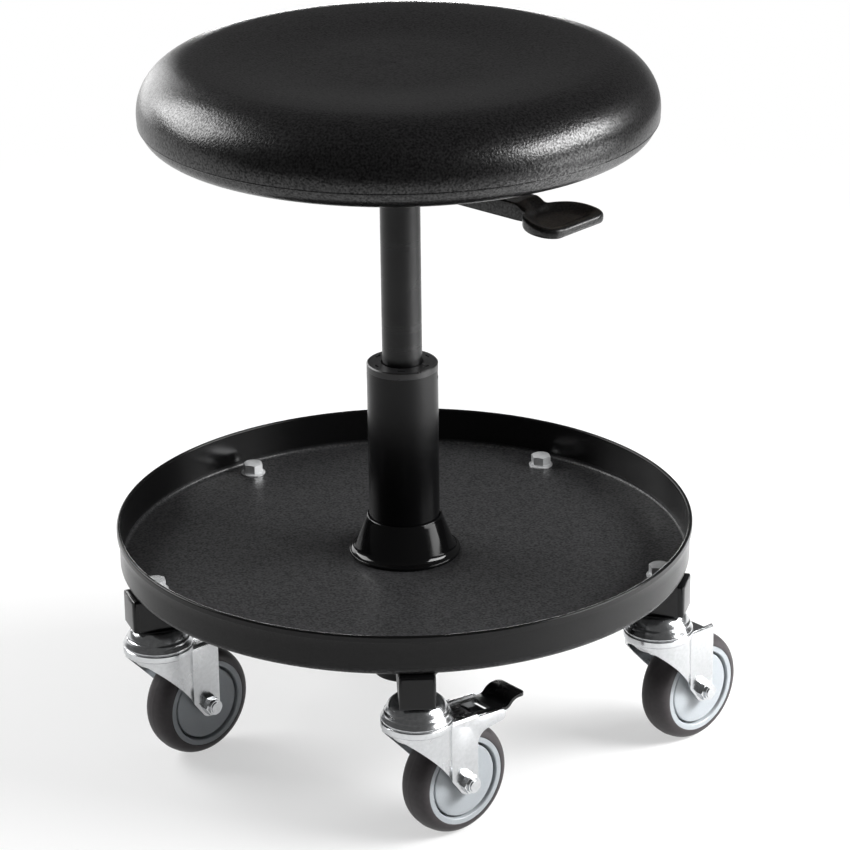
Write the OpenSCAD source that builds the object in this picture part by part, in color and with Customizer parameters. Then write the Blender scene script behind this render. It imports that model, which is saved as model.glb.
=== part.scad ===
// Workshop creeper seat: a round moulded seat on a gas lift, with a round tool tray
// on a five-armed base of square tube that runs on swivel castors.
// Millimetres, +Z up. The origin is on the column's axis, at the floor.
// The first arm points along -Y. The other four follow it anticlockwise.

/* [Seat] */
// Diameter of the cushion
seat_d = 355; // [330:1:380]
// Thickness of the cushion, from its underside to its crest
seat_h = 54.7; // [48:0.1:62]
// Height of the cushion's widest line above its underside
waist_h = 18.8; // [16:0.1:24]
// Height of the mould's parting line above the underside
parting_h = 13; // [8:0.5:15]
// Distance from the widest line in to the crest
crown_w = 43; // [36:1:50]
// Depth of the dish below the crest
dish_h = 5; // [3:0.5:8]
// Diameter of the flat middle of the dish
dish_flat_d = 110; // [80:5:140]
// Depth of the seat's fixings: from the taper socket's lower end to the cushion's underside
fixing_h = 43.9; // [42.5:0.1:52]

/* [Gas lift] */
// Outer diameter of the standing tube
tube_d = 50; // [48:1:54]
// Length of the standing tube
tube_len = 232; // [222:1:240]
// Height of the standing tube's top above the tray's floor
tube_rise = 138.4; // [130:0.1:146]
// Diameter of the pressure cylinder
cylinder_d = 28; // [26:1:28]
// Cylinder that shows between the bush and the taper socket, with the seat right up
lift_reach = 121.8; // [119:0.1:130]
// Travel of the seat, up and down
lift_stroke = 115; // [90:1:115]
// Height of the guide bush's flange
bush_lip = 5; // [4:0.5:7]

/* [Release lever] */
// Direction of the lever about the column, from +X
lever_turn = -44.7; // [-60:0.1:-30]
// Distance from the column's axis to the paddle's end
lever_reach = 162; // [158:0.5:172]
// Width of the lever's stem
stem_w = 23; // [20:1:26]
// Height of the lever's stem
stem_h = 12.1; // [10:0.1:13]
// Width of the paddle
paddle_w = 59; // [56:1:70]
// Thickness of the paddle at its rim
paddle_t = 8.5; // [8:0.5:9.5]

/* [Tool tray] */
// Diameter of the tray over its hem
tray_d = 407.6; // [400:0.1:416]
// Height of the tray's rim above its floor
tray_h = 27.8; // [20:0.1:36]
// Thickness of the tray's sheet
tray_t = 1.2; // [1:0.1:2]
// Width of the tapered collar at its foot
collar_d = 78.8; // [74:0.1:90]
// Height of the tapered collar
collar_h = 28.3; // [24:0.1:36]

/* [Base] */
// Width and height of the square arm tube
arm_w = 25; // [24:1:28]
// Wall of the square arm tube
arm_wall = 2; // [1.5:0.1:2.5]
// Distance from the column's axis to the end caps' faces
arm_reach = 205; // [204:0.5:216]
// Diameter of the hub that the arms are welded to
hub_d = 60; // [58:1:66]
// Height of the hub
hub_h = 45; // [35:1:50]
// Radius of the circle that the castors turn on
castor_r = 184.5; // [182:0.5:185.5]

/* [Castors] */
// Height of a castor, from the floor to the arm
castor_h = 108; // [107:0.5:112]
// Diameter of a wheel over its tyre
wheel_d = 80; // [76:0.5:81]
// Width of a wheel
wheel_w = 25; // [23:0.5:26]
// Distance from the swivel's axis to the axle
trail = 31.6; // [30:0.1:33]
// Diameter of the swivel head
head_d = 49; // [48.4:0.1:50]
// Height of the swivel head above the fork
head_h = 19; // [18.8:0.1:20]
// Thickness of the fork's steel
fork_t = 2; // [1.8:0.1:2.4]

/* [Brake] */
// Distance from the swivel's axis to the end of the braked fork
brake_reach = 65; // [63:0.5:68]
// Length of the pedal's tread past the fork
tread_len = 19.5; // [18:0.5:24]
// Gap between the brake shoe and the tyre, with the brake off
shoe_gap = 3.6; // [3.4:0.1:4.4]

/* [Hidden] */
$fn = 96;

// Overrun of every cut, gap of pieces that are pressed or bonded together, and play of a moving fit
cut = 1;
bond = 0.03;
play = 0.05;
// Gap that lets a piece move past its neighbour
clear = 0.3;

// Directions of the arms and of the castors' trailing wheels, from +X
arm_count = 5;
arm_first = -90;
castor_turns = [37.1, 39.6, 39.5, 39.5, 39.3];

// Heights of the main joints above the floor
arm_top = castor_h + arm_w;
tray_floor = arm_top + tray_t;
tube_top = tray_floor + tube_rise;
tube_foot = tube_top - tube_len;
bush_top = tube_top + bush_lip;
socket_foot = bush_top + lift_reach;
seat_foot = socket_foot + fixing_h;
seat_top = seat_foot + seat_h;

// Fasteners: nominal radius, width across flats, head and nut heights, and hole clearance
m8_r = 4;
m8_flats = 13;
m8_head = 6.3;
m8_nut = 6.5;
m8_hole = 0.3;
flange_r = 9;
flange_h = 1.8;
flange_edge = 0.8;
m6_r = 3;
m6_flats = 10;
m6_head = 4;
thread_end = 0.7;

// A hexagonal prism with its upper corners turned off, as on a bolt head
module hex_prism(flats, h) {
    corner = flats / sqrt(3);
    bevel = corner - flats / 2;
    intersection() {
        cylinder(r = corner, h = h, $fn = 6);
        union() {
            cylinder(r = corner + cut, h = h - bevel / 2);
            translate([0, 0, h - bevel / 2])
                cylinder(r1 = corner, r2 = corner - bevel, h = bevel / 2);
        }
    }
}

// A tube standing on z = 0
module pipe(r_out, r_in, h) {
    difference() {
        cylinder(r = r_out, h = h);
        translate([0, 0, -cut])
            cylinder(r = r_in, h = h + 2 * cut);
    }
}

// The mirror image of a run of points, so that the two close a symmetrical outline
function flipped(side) = [for (i = [len(side) - 1 : -1 : 0]) [side[i][0], -side[i][1]]];

// A flat rectangle with round corners, centred
module round_rect(w, d, r) {
    square([w - 2 * r, d], center = true);
    square([w, d - 2 * r], center = true);
    for (x = [-1, 1])
        for (y = [-1, 1])
            translate([x * (w / 2 - r), y * (d / 2 - r)])
                circle(r = r);
}

// A side outline, drawn in x and z, given a width in y about the middle
module across(width) {
    rotate([90, 0, 0])
        translate([0, 0, -width / 2])
            linear_extrude(width)
                children();
}

// Places for what stands on an arm, in a castor's own frame, and in the lever's frame
function arm_angle(k) = arm_first + k * 360 / arm_count;
module on_arm(k) {
    rotate([0, 0, arm_angle(k)])
        children();
}
module at_castor(k) {
    on_arm(k)
        translate([castor_r, 0, 0])
            rotate([0, 0, castor_turns[k] - arm_angle(k)])
                children();
}
module at_every_castor() {
    for (k = [0 : arm_count - 1])
        at_castor(k)
            children();
}
module at_lever() {
    rotate([0, 0, lever_turn])
        children();
}

// Base

tube_r = tube_d / 2;
tube_wall = 1.8;
tube_bore = tube_r - tube_wall;
// The standing tube's lower end tapers, so that it wedges in the hub
tube_taper = 0.7;
function tube_r_at(z) = tube_r - tube_taper * (arm_top - z) / (arm_top - tube_foot);

module hub() {
    color("#1a1a1b")
        translate([0, 0, arm_top - hub_h])
            difference() {
                cylinder(r = hub_d / 2, h = hub_h);
                cylinder(r1 = tube_r_at(arm_top - hub_h) + bond, r2 = tube_r + bond, h = hub_h);
            }
}

arm_round = 2.5;
arm_bore_round = 1;
cap_head = 4.5;
cap_round = 3;
cap_plug = 9;
plug_fit = 0.1;
arm_end = arm_reach - cap_head;

module arm(k) {
    color("#1a1a1b")
        on_arm(k)
            difference() {
                translate([0, 0, castor_h + arm_w / 2])
                    rotate([90, 0, 90])
                        linear_extrude(arm_end)
                            difference() {
                                round_rect(arm_w, arm_w, arm_round);
                                round_rect(arm_w - 2 * arm_wall, arm_w - 2 * arm_wall, arm_bore_round);
                            }
                translate([0, 0, castor_h - cut])
                    cylinder(r = hub_d / 2, h = arm_w + 2 * cut);
                translate([castor_r, 0, castor_h - cut])
                    cylinder(r = m8_r + m8_hole, h = arm_w + 2 * cut);
            }
}

// A square plug with a round-edged head, pushed into the open end of each arm
module arm_caps() {
    plug = arm_w - 2 * arm_wall - 2 * plug_fit;
    color("#141415")
        for (k = [0 : arm_count - 1])
            on_arm(k)
                translate([0, 0, castor_h + arm_w / 2]) {
                    intersection() {
                        translate([arm_end, 0, 0])
                            rotate([90, 0, 90])
                                linear_extrude(cap_head)
                                    round_rect(arm_w, arm_w, arm_round);
                        across(arm_w + cut)
                            translate([arm_reach - arm_w / 2, 0])
                                round_rect(arm_w, arm_w, cap_round);
                        translate([0, 0, -arm_w])
                            linear_extrude(2 * arm_w)
                                translate([arm_reach - arm_w / 2, 0])
                                    round_rect(arm_w, arm_w, cap_round);
                    }
                    translate([arm_end - cap_plug, 0, 0])
                        rotate([90, 0, 90])
                            linear_extrude(cap_plug)
                                round_rect(plug, plug, arm_bore_round);
                }
}

// Tray

hem_h = 5;
tray_corner = 4;
tray_hole = 0.4;
tray_r = tray_d / 2;
// The hem is the same sheet folded outwards and down
hem_share = 2.4;
hem_w = hem_share * tray_t;
tray_wall = tray_r - hem_w + tray_t;

module tray_section() {
    square_corner = tray_wall - tray_corner;
    translate([tube_r + tray_hole, -tray_t])
        square([square_corner - tube_r - tray_hole, tray_t]);
    translate([square_corner, tray_corner - tray_t])
        intersection() {
            difference() {
                circle(r = tray_corner);
                circle(r = tray_corner - tray_t);
            }
            translate([0, -tray_corner])
                square(tray_corner);
        }
    translate([tray_wall - tray_t, tray_corner - tray_t])
        square([tray_t, tray_h - hem_w / 2 - tray_corner + tray_t]);
    translate([tray_wall - tray_t, tray_h - hem_h])
        square([hem_w, hem_h - hem_w / 2]);
    translate([tray_r - hem_w / 2, tray_h - hem_w / 2])
        circle(r = hem_w / 2);
}

module tray() {
    color("#2b2b2d")
        difference() {
            translate([0, 0, tray_floor])
                rotate_extrude()
                    tray_section();
            for (k = [0 : arm_count - 1])
                on_arm(k)
                    translate([castor_r, 0, arm_top - cut])
                        cylinder(r = m8_r + m8_hole, h = tray_t + 2 * cut);
        }
}

// The collar drops over the column: a cone above, flared out to a thin round foot
collar_t = 1.5;
collar_neck = 1.8;
// Radii of the flare, as shares of the way from neck to foot, against shares of the height
flare_shares = [[0, 1], [0.54, 0.33], [0.64, 0.23], [0.78, 0.155], [0.94, 0.105], [1, 0.08], [1, 0]];

module collar() {
    neck_r = tube_r + collar_neck;
    rim_r = collar_d / 2;
    outer = [for (s = flare_shares) [neck_r + s[0] * (rim_r - neck_r), s[1] * collar_h]];
    color("#0d0d0e")
        translate([0, 0, tray_floor])
            rotate_extrude()
                polygon(concat(outer, [for (i = [len(outer) - 1 : -1 : 0]) outer[i] - [collar_t, 0]]));
}

// Standing tube of the gas lift, with its pressed-in bottom and the windows that hold the bush

base_t = 3;
base_recess = 2.6;
stud_r = 4;
window_w = 9;
window_h = 5;
window_drop = 1.4;
window_turn = -6;
base_top = tube_foot + base_recess + base_t;

module windows(depth, margin) {
    for (side = [0, 180])
        rotate([0, 0, window_turn + side])
            translate([tube_bore - depth, -window_w / 2 + margin,
                tube_top - window_drop - window_h + margin])
                cube([depth + tube_wall + (margin > 0 ? -clear : cut), window_w - 2 * margin,
                    window_h - 2 * margin]);
}

module column_tube() {
    color("#17171a")
        difference() {
            rotate_extrude()
                polygon([[tube_r - tube_taper, tube_foot], [tube_r, arm_top], [tube_r, tube_top],
                    [tube_bore, tube_top], [tube_bore, base_top], [stud_r + play, base_top],
                    [stud_r + play, tube_foot + base_recess], [tube_bore, tube_foot + base_recess],
                    [tube_bore, tube_foot]]);
            windows(cut, 0);
        }
}

bush_len = 70;
bush_land = 20;
bush_relief = 2;
bush_mouth = 0.9;
bush_edge = 0.8;
slot_count = 6;
slot_first = -94;
slot_r = 19.9;
slot_w = 1.3;
slot_l = 5;
slot_h = 1.5;
cylinder_r = cylinder_d / 2;

module guide_bush() {
    bore = cylinder_r + play;
    foot = tube_top - bush_len;
    color("#2a2a2c") {
        difference() {
            rotate_extrude()
                polygon([[bore, foot], [tube_bore - bond, foot], [tube_bore - bond, tube_top],
                    [tube_r, tube_top], [tube_r, bush_top - bush_edge], [tube_r - bush_edge, bush_top],
                    [bore + bush_mouth, bush_top], [bore, bush_top - 2 * bush_mouth],
                    [bore, bush_top - bush_land], [bore + bush_relief, bush_top - bush_land - bush_relief],
                    [bore + bush_relief, foot + bush_land], [bore, foot + bush_land - bush_relief]]);
            for (i = [0 : slot_count - 1])
                rotate([0, 0, slot_first + i * 360 / slot_count])
                    translate([slot_r - slot_w / 2, -slot_l / 2, bush_top - slot_h])
                        cube([slot_w, slot_l, slot_h + cut]);
        }
        windows(bush_edge, play);
    }
}

// Castor heads: what stays with the arm

crown_t = 2.5;
crown_rise = 4.8;
crown_top = castor_h - head_h + crown_rise;
crown_plate = castor_h - head_h;
ball_r = 3;
ball_count = 10;
ball_track = 18.5;
ball_sink = 0.8;
ball_gap = 0.15;
ball_z = crown_top + ball_r - ball_sink;
head_r = head_d / 2;
race_t = 2.5;
race_foot = 0.7;
sleeve_r = 8;
sleeve_bore = 4.25;
low_ball_r = 1.65;
low_ball_count = 8;
low_track = 12;
low_gap = 3.5;
low_flange_r = 17;
low_flange_t = 1.8;
low_top = crown_plate - crown_t - low_gap;
nut_top = low_top - low_flange_t;
bolt_foot = nut_top - m8_nut - thread_end;

module castor_bolts() {
    color("#c3c6c8")
        at_every_castor() {
            translate([0, 0, bolt_foot])
                cylinder(r = m8_r, h = tray_floor - bolt_foot);
            translate([0, 0, tray_floor])
                rotate_extrude()
                    polygon([[0, 0], [flange_r, 0], [flange_r, flange_edge],
                        [m8_flats / 2, flange_h], [0, flange_h]]);
            translate([0, 0, tray_floor + flange_h])
                hex_prism(m8_flats, m8_head);
        }
}

// The upper race is a pressed dome with a step, above a bulged skirt.
// Its outline: shares of the head's radius, against shares of the height above the skirt's edge
race_shares = [[0.61, 1], [0.7, 0.93], [0.79, 0.76], [0.85, 0.54], [0.88, 0.42], [0.91, 0.39],
    [0.935, 0.25], [0.98, 0.09], [1, 0.03], [1, 0]];
boss_r = 13;
skirt_t = 2.2;

module castor_races() {
    foot = crown_top + race_foot;
    under = ball_z + ball_r - ball_sink;
    race_h = castor_h - foot;
    color("#b9bcbe")
        at_every_castor()
            difference() {
                rotate_extrude()
                    polygon(concat([[m8_r + m8_hole, castor_h]],
                        [for (s = race_shares) [s[0] * head_r, foot + s[1] * race_h]],
                        [[head_r - skirt_t, foot], [ball_track + ball_r + clear, ball_z],
                        [ball_track + ball_r - ball_sink, under], [boss_r + race_t, under],
                        [boss_r - race_t, castor_h - race_t], [m8_r + m8_hole, castor_h - race_t]]));
                rotate_extrude()
                    translate([ball_track, ball_z])
                        circle(r = ball_r + ball_gap);
            }
}

// The hollow rivet that carries the lower race
module castor_sleeves() {
    color("#aeb1b3")
        at_every_castor()
            rotate_extrude()
                polygon([[sleeve_bore, nut_top], [low_flange_r, nut_top], [low_flange_r, low_top],
                    [sleeve_r, low_top], [sleeve_r, castor_h - race_t], [sleeve_bore, castor_h - race_t]]);
}

module castor_nuts() {
    color("#aeb1b3")
        at_every_castor()
            translate([0, 0, nut_top])
                mirror([0, 0, 1])
                    difference() {
                        hex_prism(m8_flats, m8_nut);
                        translate([0, 0, -cut])
                            cylinder(r = m8_r + play, h = m8_nut + 2 * cut);
                    }
}

module castor_balls() {
    color("#d5d8da")
        at_every_castor() {
            for (i = [0 : ball_count - 1])
                rotate([0, 0, i * 360 / ball_count])
                    translate([ball_track, 0, ball_z])
                        sphere(r = ball_r);
            for (i = [0 : low_ball_count - 1])
                rotate([0, 0, i * 360 / low_ball_count])
                    translate([low_track, 0, low_top + low_gap / 2])
                        sphere(r = low_ball_r);
        }
}

// Castor forks

leg_gap = 1.3;
leg_in = wheel_w / 2 + leg_gap;
leg_out = leg_in + fork_t;
cup_in = 1;
cup_r = head_r - cup_in;
foot_r = 8.5;
fork_back = trail + foot_r;
plate_back = trail + clear;
crease_round = 3;
rim_round = 1;
king_hole = 1.2;
// Radius of the long hollow curve along the fork's lower front edge
front_curve = 277;
axle_z = wheel_d / 2;
front_z = crown_plate - rim_round;

// Where the fork's front edge leaves the round foot about the axle
edge_angle = atan2(front_z - axle_z, trail + cup_r) ;
foot_turn = asin(foot_r / norm([front_z - axle_z, trail + cup_r]));
edge_slope = edge_angle + foot_turn;
edge_x = trail - foot_r * sin(edge_slope);
edge_z = axle_z - foot_r * cos(edge_slope);
edge_len = norm([edge_x + cup_r, front_z - edge_z]);
edge_dir = atan2(front_z - edge_z, edge_x + cup_r);

// Side outline of a leg: a round foot at the axle, an upright back and a sloping, hollow front
module leg_side() {
    mid = [(edge_x - cup_r) / 2, (front_z + edge_z) / 2];
    dip = sqrt(front_curve * front_curve - edge_len * edge_len / 4);
    difference() {
        union() {
            translate([trail, axle_z])
                circle(r = foot_r);
            polygon([[-cup_r, crown_plate], [-cup_r, front_z], [edge_x, edge_z], [trail, axle_z],
                [fork_back, axle_z], [fork_back, crown_plate]]);
        }
        translate([mid[0] - dip * sin(edge_dir), mid[1] - dip * cos(edge_dir)])
            circle(r = front_curve, $fn = 360);
    }
}

// The braked fork's sides run on past the wheel as a round-nosed wing
nose_r = 4;
nose_drop = 3.7;
wing_h = 13.4;
wing_round = 10;

module wing_side() {
    nose_z = crown_plate - nose_drop;
    difference() {
        union() {
            polygon([[0, crown_plate], [brake_reach - nose_r, nose_z],
                [brake_reach - nose_r, nose_z - 2 * nose_r],
                [fork_back + wing_round, crown_plate - wing_h],
                [fork_back + wing_round, crown_plate - wing_h - wing_round],
                [0, crown_plate - wing_h - wing_round]]);
            translate([brake_reach - nose_r, nose_z - nose_r])
                circle(r = nose_r);
        }
        translate([fork_back + wing_round, crown_plate - wing_h - wing_round])
            circle(r = wing_round);
        translate([fork_back, 0])
            square([brake_reach, crown_plate - wing_h - wing_round]);
    }
}

module plan_outline(r, half, back) {
    circle(r = r);
    translate([0, -half])
        square([back, 2 * half]);
}

module fork(k, braked) {
    under = crown_plate - crown_t;
    back = braked ? brake_reach : fork_back;
    low = axle_z - foot_r;
    color("#cdd0d1")
        at_castor(k)
            difference() {
                union() {
                    intersection() {
                        translate([0, 0, low])
                            linear_extrude(crown_plate - low)
                                plan_outline(cup_r, leg_out, back);
                        across(2 * head_d)
                            union() {
                                leg_side();
                                if (braked)
                                    wing_side();
                            }
                        union() {
                            cylinder(r = cup_r, h = castor_h);
                            rotate([90, 0, 90])
                                linear_extrude(back + cut)
                                    translate([0, crown_plate / 2])
                                        round_rect(2 * leg_out, crown_plate, crease_round);
                        }
                    }
                    rotate_extrude()
                        polygon([[sleeve_r, under], [cup_r - fork_t / 2, under],
                            [cup_r - flank, crown_plate - rim_round], [head_r, crown_plate],
                            [head_r, crown_top - rim_round],
                            [head_r - rim_round, crown_top], [boss_r + race_t, crown_top],
                            [boss_r + rim_round, crown_plate], [sleeve_r, crown_plate]]);
                }
                translate([0, 0, low - cut])
                    linear_extrude(under - low + cut)
                        plan_outline(cup_r - fork_t, leg_in, back + cut);
                rotate_extrude()
                    polygon([[boss_r + rim_round, under - cut], [boss_r + rim_round, under],
                        [boss_r + race_t + rim_round, crown_top - crown_t],
                        [cup_r - fork_t, crown_top - crown_t],
                        [cup_r - fork_t, under - cut]]);
                rotate_extrude()
                    translate([ball_track, ball_z])
                        circle(r = ball_r + ball_gap);
                translate([0, 0, under - cut])
                    cylinder(r = sleeve_r + king_hole, h = crown_t + crown_rise + 2 * cut);
                translate([(braked ? head_r : plate_back), -leg_in, under - cut])
                    cube([back, 2 * leg_in, crown_t + 2 * cut]);
                translate([trail, 0, axle_z])
                    rotate([90, 0, 0])
                        cylinder(r = m8_r + 2 * play, h = head_d, center = true);
                if (braked)
                    translate([pedal_pin_x, 0, pedal_pin_z])
                        rotate([90, 0, 0])
                            cylinder(r = pedal_pin_r + bond, h = head_d, center = true);
            }
}

// Axle: a bolt and a collared locknut that clamp the spacer sleeve between the legs

spacer_r = 6;
axle_flats = 12;
axle_head = 5.3;
axle_nut = 4.3;
nut_collar_r = 5.3;
nut_collar_h = 2.2;

module axle(k) {
    color("#bfc2c4")
        at_castor(k)
            translate([trail, 0, axle_z])
                rotate([90, 0, 0]) {
                    translate([0, 0, -leg_out])
                        mirror([0, 0, 1])
                            hex_prism(axle_flats, axle_head);
                    translate([0, 0, -leg_out])
                        cylinder(r = m8_r, h = 2 * leg_out + axle_nut + nut_collar_h + thread_end);
                    translate([0, 0, leg_out])
                        difference() {
                            union() {
                                hex_prism(axle_flats, axle_nut);
                                cylinder(r = nut_collar_r, h = axle_nut + nut_collar_h);
                            }
                            translate([0, 0, -cut])
                                cylinder(r = m8_r + play, h = axle_nut + nut_collar_h + 2 * cut);
                        }
                    translate([0, 0, bond - leg_in])
                        pipe(spacer_r, m8_r + play, 2 * (leg_in - bond));
                }
}

// Wheel: a moulded core with a soft tyre, and a thread guard each side that stays with the fork

hub_in = 3.3;
hub_half = wheel_w / 2 - hub_in;
hub_wall = 5;
web_half = 2.4;
rim_in = 27.6;
rim_out = 31.4;
flank = 0.1;
guard_r = 25.9;
guard_t = 1.5;
guard_in = 1.2;
guard_collar = 8;
guard_round = 0.6;

module core(k) {
    bore = spacer_r + play;
    half = wheel_w / 2 - flank;
    side = [[bore, hub_half], [bore + hub_wall, hub_half], [bore + hub_wall + rim_round, web_half],
        [rim_in - rim_round, web_half], [rim_in, half - rim_round / 2], [rim_in + rim_round / 2, half],
        [rim_out, half]];
    color("#b4bcc3")
        at_castor(k)
            translate([trail, 0, axle_z])
                rotate([90, 0, 0])
                    rotate_extrude()
                        polygon(concat(side, flipped(side)));
}

// The tyre's tread is a smooth bow across its width, fuller than an ellipse
tread_depth = 9;
tread_power = 2.4;
tread_steps = 10;

module tyre(k) {
    inner = rim_out + bond;
    half = wheel_w / 2;
    bow = [for (i = [-tread_steps : tread_steps])
        let (a = 90 * i / tread_steps)
        [axle_z - tread_depth + tread_depth * pow(abs(cos(a)), 2 / tread_power),
            half * sign(a) * pow(abs(sin(a)), 2 / tread_power)]];
    color("#4b4648")
        at_castor(k)
            translate([trail, 0, axle_z])
                rotate([90, 0, 0])
                    rotate_extrude()
                        polygon(concat([[inner, -half + flank]],
                            [for (p = bow) if (p[0] > inner + flank) p],
                            [[inner, half - flank]]));
}

module guards(k) {
    outer = wheel_w / 2 - guard_in;
    color("#aab2ba")
        at_castor(k)
            translate([trail, 0, axle_z])
                rotate([90, 0, 0])
                    for (side = [0, 1])
                        mirror([0, 0, side])
                            rotate_extrude()
                                polygon([[spacer_r + play, outer - guard_t], [guard_r, outer - guard_t],
                                    [guard_r, outer - guard_round], [guard_r - guard_round, outer],
                                    [guard_collar, outer + flank], [guard_collar, leg_in - play],
                                    [spacer_r + play, leg_in - play]]);
}

// Brake of the front castor

pedal_pin_x = 30.4;
pedal_pin_drop = 5;
pedal_pin_z = crown_plate - pedal_pin_drop;
pedal_pin_r = 2;
pedal_t = 2.2;
pedal_gap = 0.7;
pedal_front = head_r + pedal_gap;
pedal_drop = 0.6;
pedal_half = leg_in - clear;
ear_r = 4;
ear_w = 3;
pedal_window = [42, 16, 15];
rib_count = 4;
rib_pitch = 4.8;
rib_w = 1.2;
rib_h = 0.8;
rib_l = 11;
bend_out = 1;
rise_r = 5;
crest_r = 11;
rise_angle = 50;
tip_round = 3.5;
arc_steps = 6;
pedal_l = brake_reach + tread_len - pedal_front + tip_round;
pedal_slope = atan2(nose_drop, brake_reach - nose_r);

// Height of the pedal's upper face where it lies between the fork's sides
function pedal_z(x) = crown_plate - pedal_drop - x * tan(pedal_slope);

// The line of the pedal's upper face: down along the fork, then up and over to the tread's tip
function pedal_line() =
    let (start = [pedal_front, pedal_z(pedal_front)],
        bend = [brake_reach + bend_out, pedal_z(brake_reach + bend_out)],
        rise = [for (i = [1 : arc_steps])
            let (a = -pedal_slope + i * (rise_angle + pedal_slope) / arc_steps)
            bend + rise_r * [sin(a) + sin(pedal_slope), cos(pedal_slope) - cos(a)]],
        top = rise[arc_steps - 1],
        crest = [for (i = [1 : arc_steps]) let (a = rise_angle - i * rise_angle / arc_steps)
            top + crest_r * [sin(rise_angle) - sin(a), cos(a) - cos(rise_angle)]],
        last = crest[arc_steps - 1])
    concat([start, bend], rise, crest, [[brake_reach + tread_len, last[1] - flank]]);

// A strip of even thickness under a line
function strip(line, t) =
    let (n = len(line) - 1,
        dirs = [for (i = [0 : n]) let (d = line[min(i + 1, n)] - line[max(i - 1, 0)]) d / norm(d)])
    concat(line, [for (i = [n : -1 : 0]) line[i] + t * [dirs[i][1], -dirs[i][0]]]);

module brake_pedal() {
    color("#1b1b1c")
        at_castor(0)
            difference() {
                union() {
                    intersection() {
                        across(2 * pedal_half)
                            polygon(strip(pedal_line(), pedal_t));
                        translate([brake_reach + tread_len - pedal_l / 2, 0])
                            linear_extrude(castor_h)
                                round_rect(pedal_l, 2 * pedal_half, tip_round);
                    }
                    for (side = [-1, 1])
                        translate([0, side * (pedal_half - ear_w / 2), 0])
                            across(ear_w)
                                union() {
                                    translate([pedal_pin_x, pedal_pin_z])
                                        circle(r = ear_r);
                                    translate([pedal_pin_x - ear_r, pedal_pin_z])
                                        square([2 * ear_r, pedal_z(pedal_pin_x + ear_r) - pedal_pin_z
                                            - pedal_t / 2]);
                                }
                    for (i = [0 : rib_count - 1])
                        translate([pedal_pin_x - ear_r / 2,
                            (i - (rib_count - 1) / 2) * rib_pitch - rib_w / 2,
                            pedal_z(pedal_pin_x + rib_l) - pedal_t / 2])
                            cube([rib_l, rib_w, pedal_t / 2 + rib_h]);
                }
                translate([pedal_window[0], -pedal_window[2] / 2, 0])
                    cube([pedal_window[1], pedal_window[2], castor_h]);
                translate([pedal_pin_x, 0, pedal_pin_z])
                    rotate([90, 0, 0])
                        cylinder(r = pedal_pin_r + play, h = head_d, center = true);
            }
}

under_pedal = pedal_t / cos(pedal_slope) + bond;
shoe_front = 48;
shoe_l = 8;
shoe_half = 11;

// A steel pad under the pedal, hollowed to the tyre's round
module brake_shoe() {
    color("#c9cccd")
        at_castor(0)
            difference() {
                across(2 * shoe_half)
                    polygon([[shoe_front, axle_z + rim_in], [shoe_front + shoe_l, axle_z + rim_in],
                        [shoe_front + shoe_l, pedal_z(shoe_front + shoe_l) - under_pedal],
                        [shoe_front, pedal_z(shoe_front) - under_pedal]]);
                translate([trail, 0, axle_z])
                    rotate([90, 0, 0])
                        cylinder(r = wheel_d / 2 + shoe_gap, h = head_d, center = true, $fn = 180);
            }
}

// The pin that the pedal turns on, ground flush with the fork's sides
module brake_pin() {
    color("#c9cccd")
        at_castor(0)
            translate([pedal_pin_x, 0, pedal_pin_z])
                rotate([90, 0, 0])
                    cylinder(r = pedal_pin_r, h = 2 * leg_out, center = true);
}

// A strip of spring steel under the pedal, hooked over the pin and seen through the window
spring_w = 6;
spring_t = 0.8;
spring_drop = 1.3;

module brake_spring() {
    from = pedal_pin_x + pedal_pin_r + clear;
    knee = pedal_window[0] - ear_r;
    dip = pedal_window[0] + ear_r / 2;
    to = shoe_front - clear;
    line = [[from, pedal_z(from) - under_pedal], [knee, pedal_z(knee) - under_pedal],
        [dip, pedal_z(dip) - under_pedal - spring_drop], [to, pedal_z(to) - under_pedal - spring_drop]];
    color("#d5d8da")
        at_castor(0)
            across(spring_w)
                polygon(strip(line, spring_t));
}

// Gas lift: the rod turns with the seat on a thrust bearing and stays at one height

rod_r = 5;
washer_t = 1.5;
race_gap = 3;
thrust_r = 10;
thrust_ball = 1.4;
thrust_track = 7.2;
thrust_count = 8;
clip_t = 1.2;
clip_r = 6.5;
clip_groove = 0.8;
stem_r = 3;
piston_h = 10;
piston_fit = 0.2;
rod_shoulder = base_top + 2 * washer_t + race_gap;
// With the seat right down, the cylinder's foot stays this far above the rod's shoulder
foot_gap = 2.8;
cylinder_foot = rod_shoulder + foot_gap + lift_stroke;
cylinder_hold = 31.6;
cylinder_top = socket_foot + cylinder_hold;
cylinder_wall = 2;
cylinder_bore = cylinder_r - cylinder_wall;
cylinder_plug = 8;
piston_rest = 5;
piston_foot = cylinder_foot + cylinder_plug + piston_rest;
taper_in = 0.8;
valve_r = 3.5;
valve_fit = 0.1;
valve_block = 26;
valve_bore = 21;
valve_up = 4.7;

module thrust_bearing() {
    color("#c9cccd") {
        translate([0, 0, base_top])
            pipe(thrust_r, stud_r + clear, washer_t);
        for (i = [0 : thrust_count - 1])
            rotate([0, 0, i * 360 / thrust_count])
                translate([thrust_track, 0, base_top + washer_t + race_gap / 2])
                    sphere(r = thrust_ball);
    }
}

module piston_rod() {
    clip_foot = tube_foot + base_recess - clear - clip_t;
    color("#d9dcde")
        difference() {
            rotate_extrude()
                polygon([[0, clip_foot - clip_groove], [stud_r, clip_foot - clip_groove],
                    [stud_r, rod_shoulder],
                    [rod_r, rod_shoulder], [rod_r, piston_foot], [stem_r, piston_foot],
                    [stem_r, piston_foot + piston_h + clip_t], [0, piston_foot + piston_h + clip_t]]);
            translate([0, 0, clip_foot])
                pipe(stud_r + cut, stud_r - clip_groove, clip_t);
        }
}

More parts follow.
